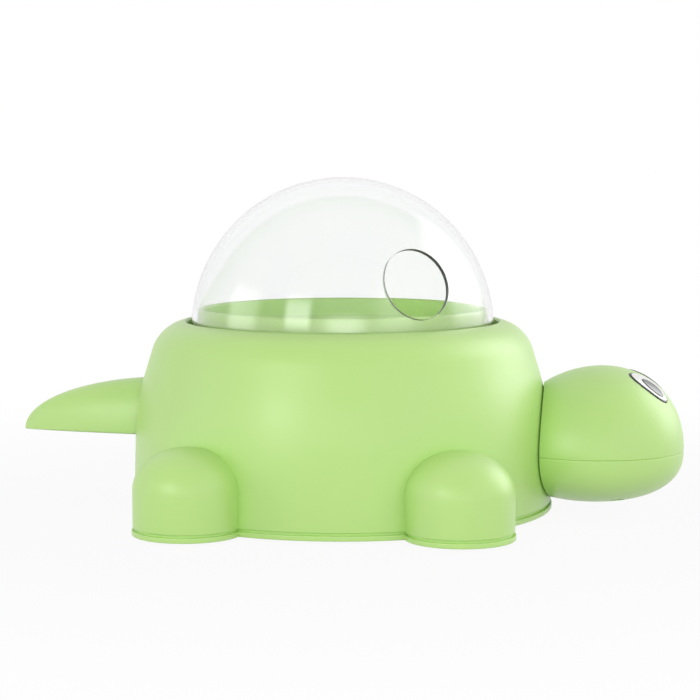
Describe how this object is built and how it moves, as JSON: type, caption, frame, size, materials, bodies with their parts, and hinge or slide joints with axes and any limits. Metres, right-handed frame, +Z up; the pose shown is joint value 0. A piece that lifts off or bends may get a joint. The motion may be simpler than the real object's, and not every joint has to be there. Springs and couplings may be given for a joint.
{
  "type": "pet treat dispenser",
  "caption": "Turtle-shaped pet treat dispenser: a press on the tail lifts a plate under a clear dome and tosses treats towards the dome's round outlet.",
  "frame": {"origin": "middle of the footprint's box, on the surface that the pads rest on", "axes": "+X towards the head, the tail at -X; +Z up"},
  "size_m": [0.296, 0.2094, 0.1467],
  "materials": {
    "green_plastic": "fine satin moulding, light green",
    "clear_plastic": "clear and polished",
    "steel": "zinc-plated",
    "grey_rubber": "matt",
    "pale_rubber": "soft, translucent white",
    "milky_plastic": "self-lubricating, natural white",
    "eye_white": "glossy white",
    "eye_black": "glossy black"
  },
  "bodies": {
    "housing": {"body_shell": "green_plastic", "base_plate": "green_plastic", "base_screws": "steel", "pad_front_left": "grey_rubber", "pad_front_right": "grey_rubber", "pad_rear_left": "grey_rubber", "pad_rear_right": "grey_rubber", "treat_tray": "green_plastic", "tray_screws": "steel", "return_spring": "steel", "pivot_pin": "steel", "pin_clips": "steel", "stop_pad": "grey_rubber", "head_upper": "green_plastic", "head_lower": "green_plastic", "head_screws": "steel", "neck_screws": "steel", "eye_left": "eye_white", "eye_right": "eye_white", "pupil_left": "eye_black", "pupil_right": "eye_black"},
    "tail": {"tail_lever": "green_plastic"},
    "launcher": {"launch_plate": "green_plastic", "stem_foot": "milky_plastic", "stem_screw": "steel"},
    "seal_ring": {"dome_seal": "pale_rubber"},
    "dome": {"dome": "clear_plastic"}
  },
  "joints": [
    {"name": "tail_press", "type": "hinge", "parent": "housing", "child": "tail", "pos_m": [-0.061, 0, 0.034], "axis": [0, -1, 0], "range_deg": [0, 13], "stiffness_Nm_per_rad": 0.8, "springref_deg": -8.59},
    {"name": "plate_lift", "type": "slide", "parent": "housing", "child": "launcher", "axis": [0, 0, 1], "range_m": [0, 0.0133], "deforming": ["return_spring"]},
    {"name": "dome_turn", "type": "hinge", "parent": "housing", "child": "seal_ring", "pos_m": [-0.003, 0, 0.0795], "axis": [0, 0, 1], "continuous": true},
    {"name": "dome_lift", "type": "slide", "parent": "seal_ring", "child": "dome", "axis": [0, 0, 1], "range_m": [0, 0.09]}
  ],
  "couplings": [
    {"joint": "plate_lift", "follows": "tail_press", "m_per_rad": 0.05825}
  ]
}
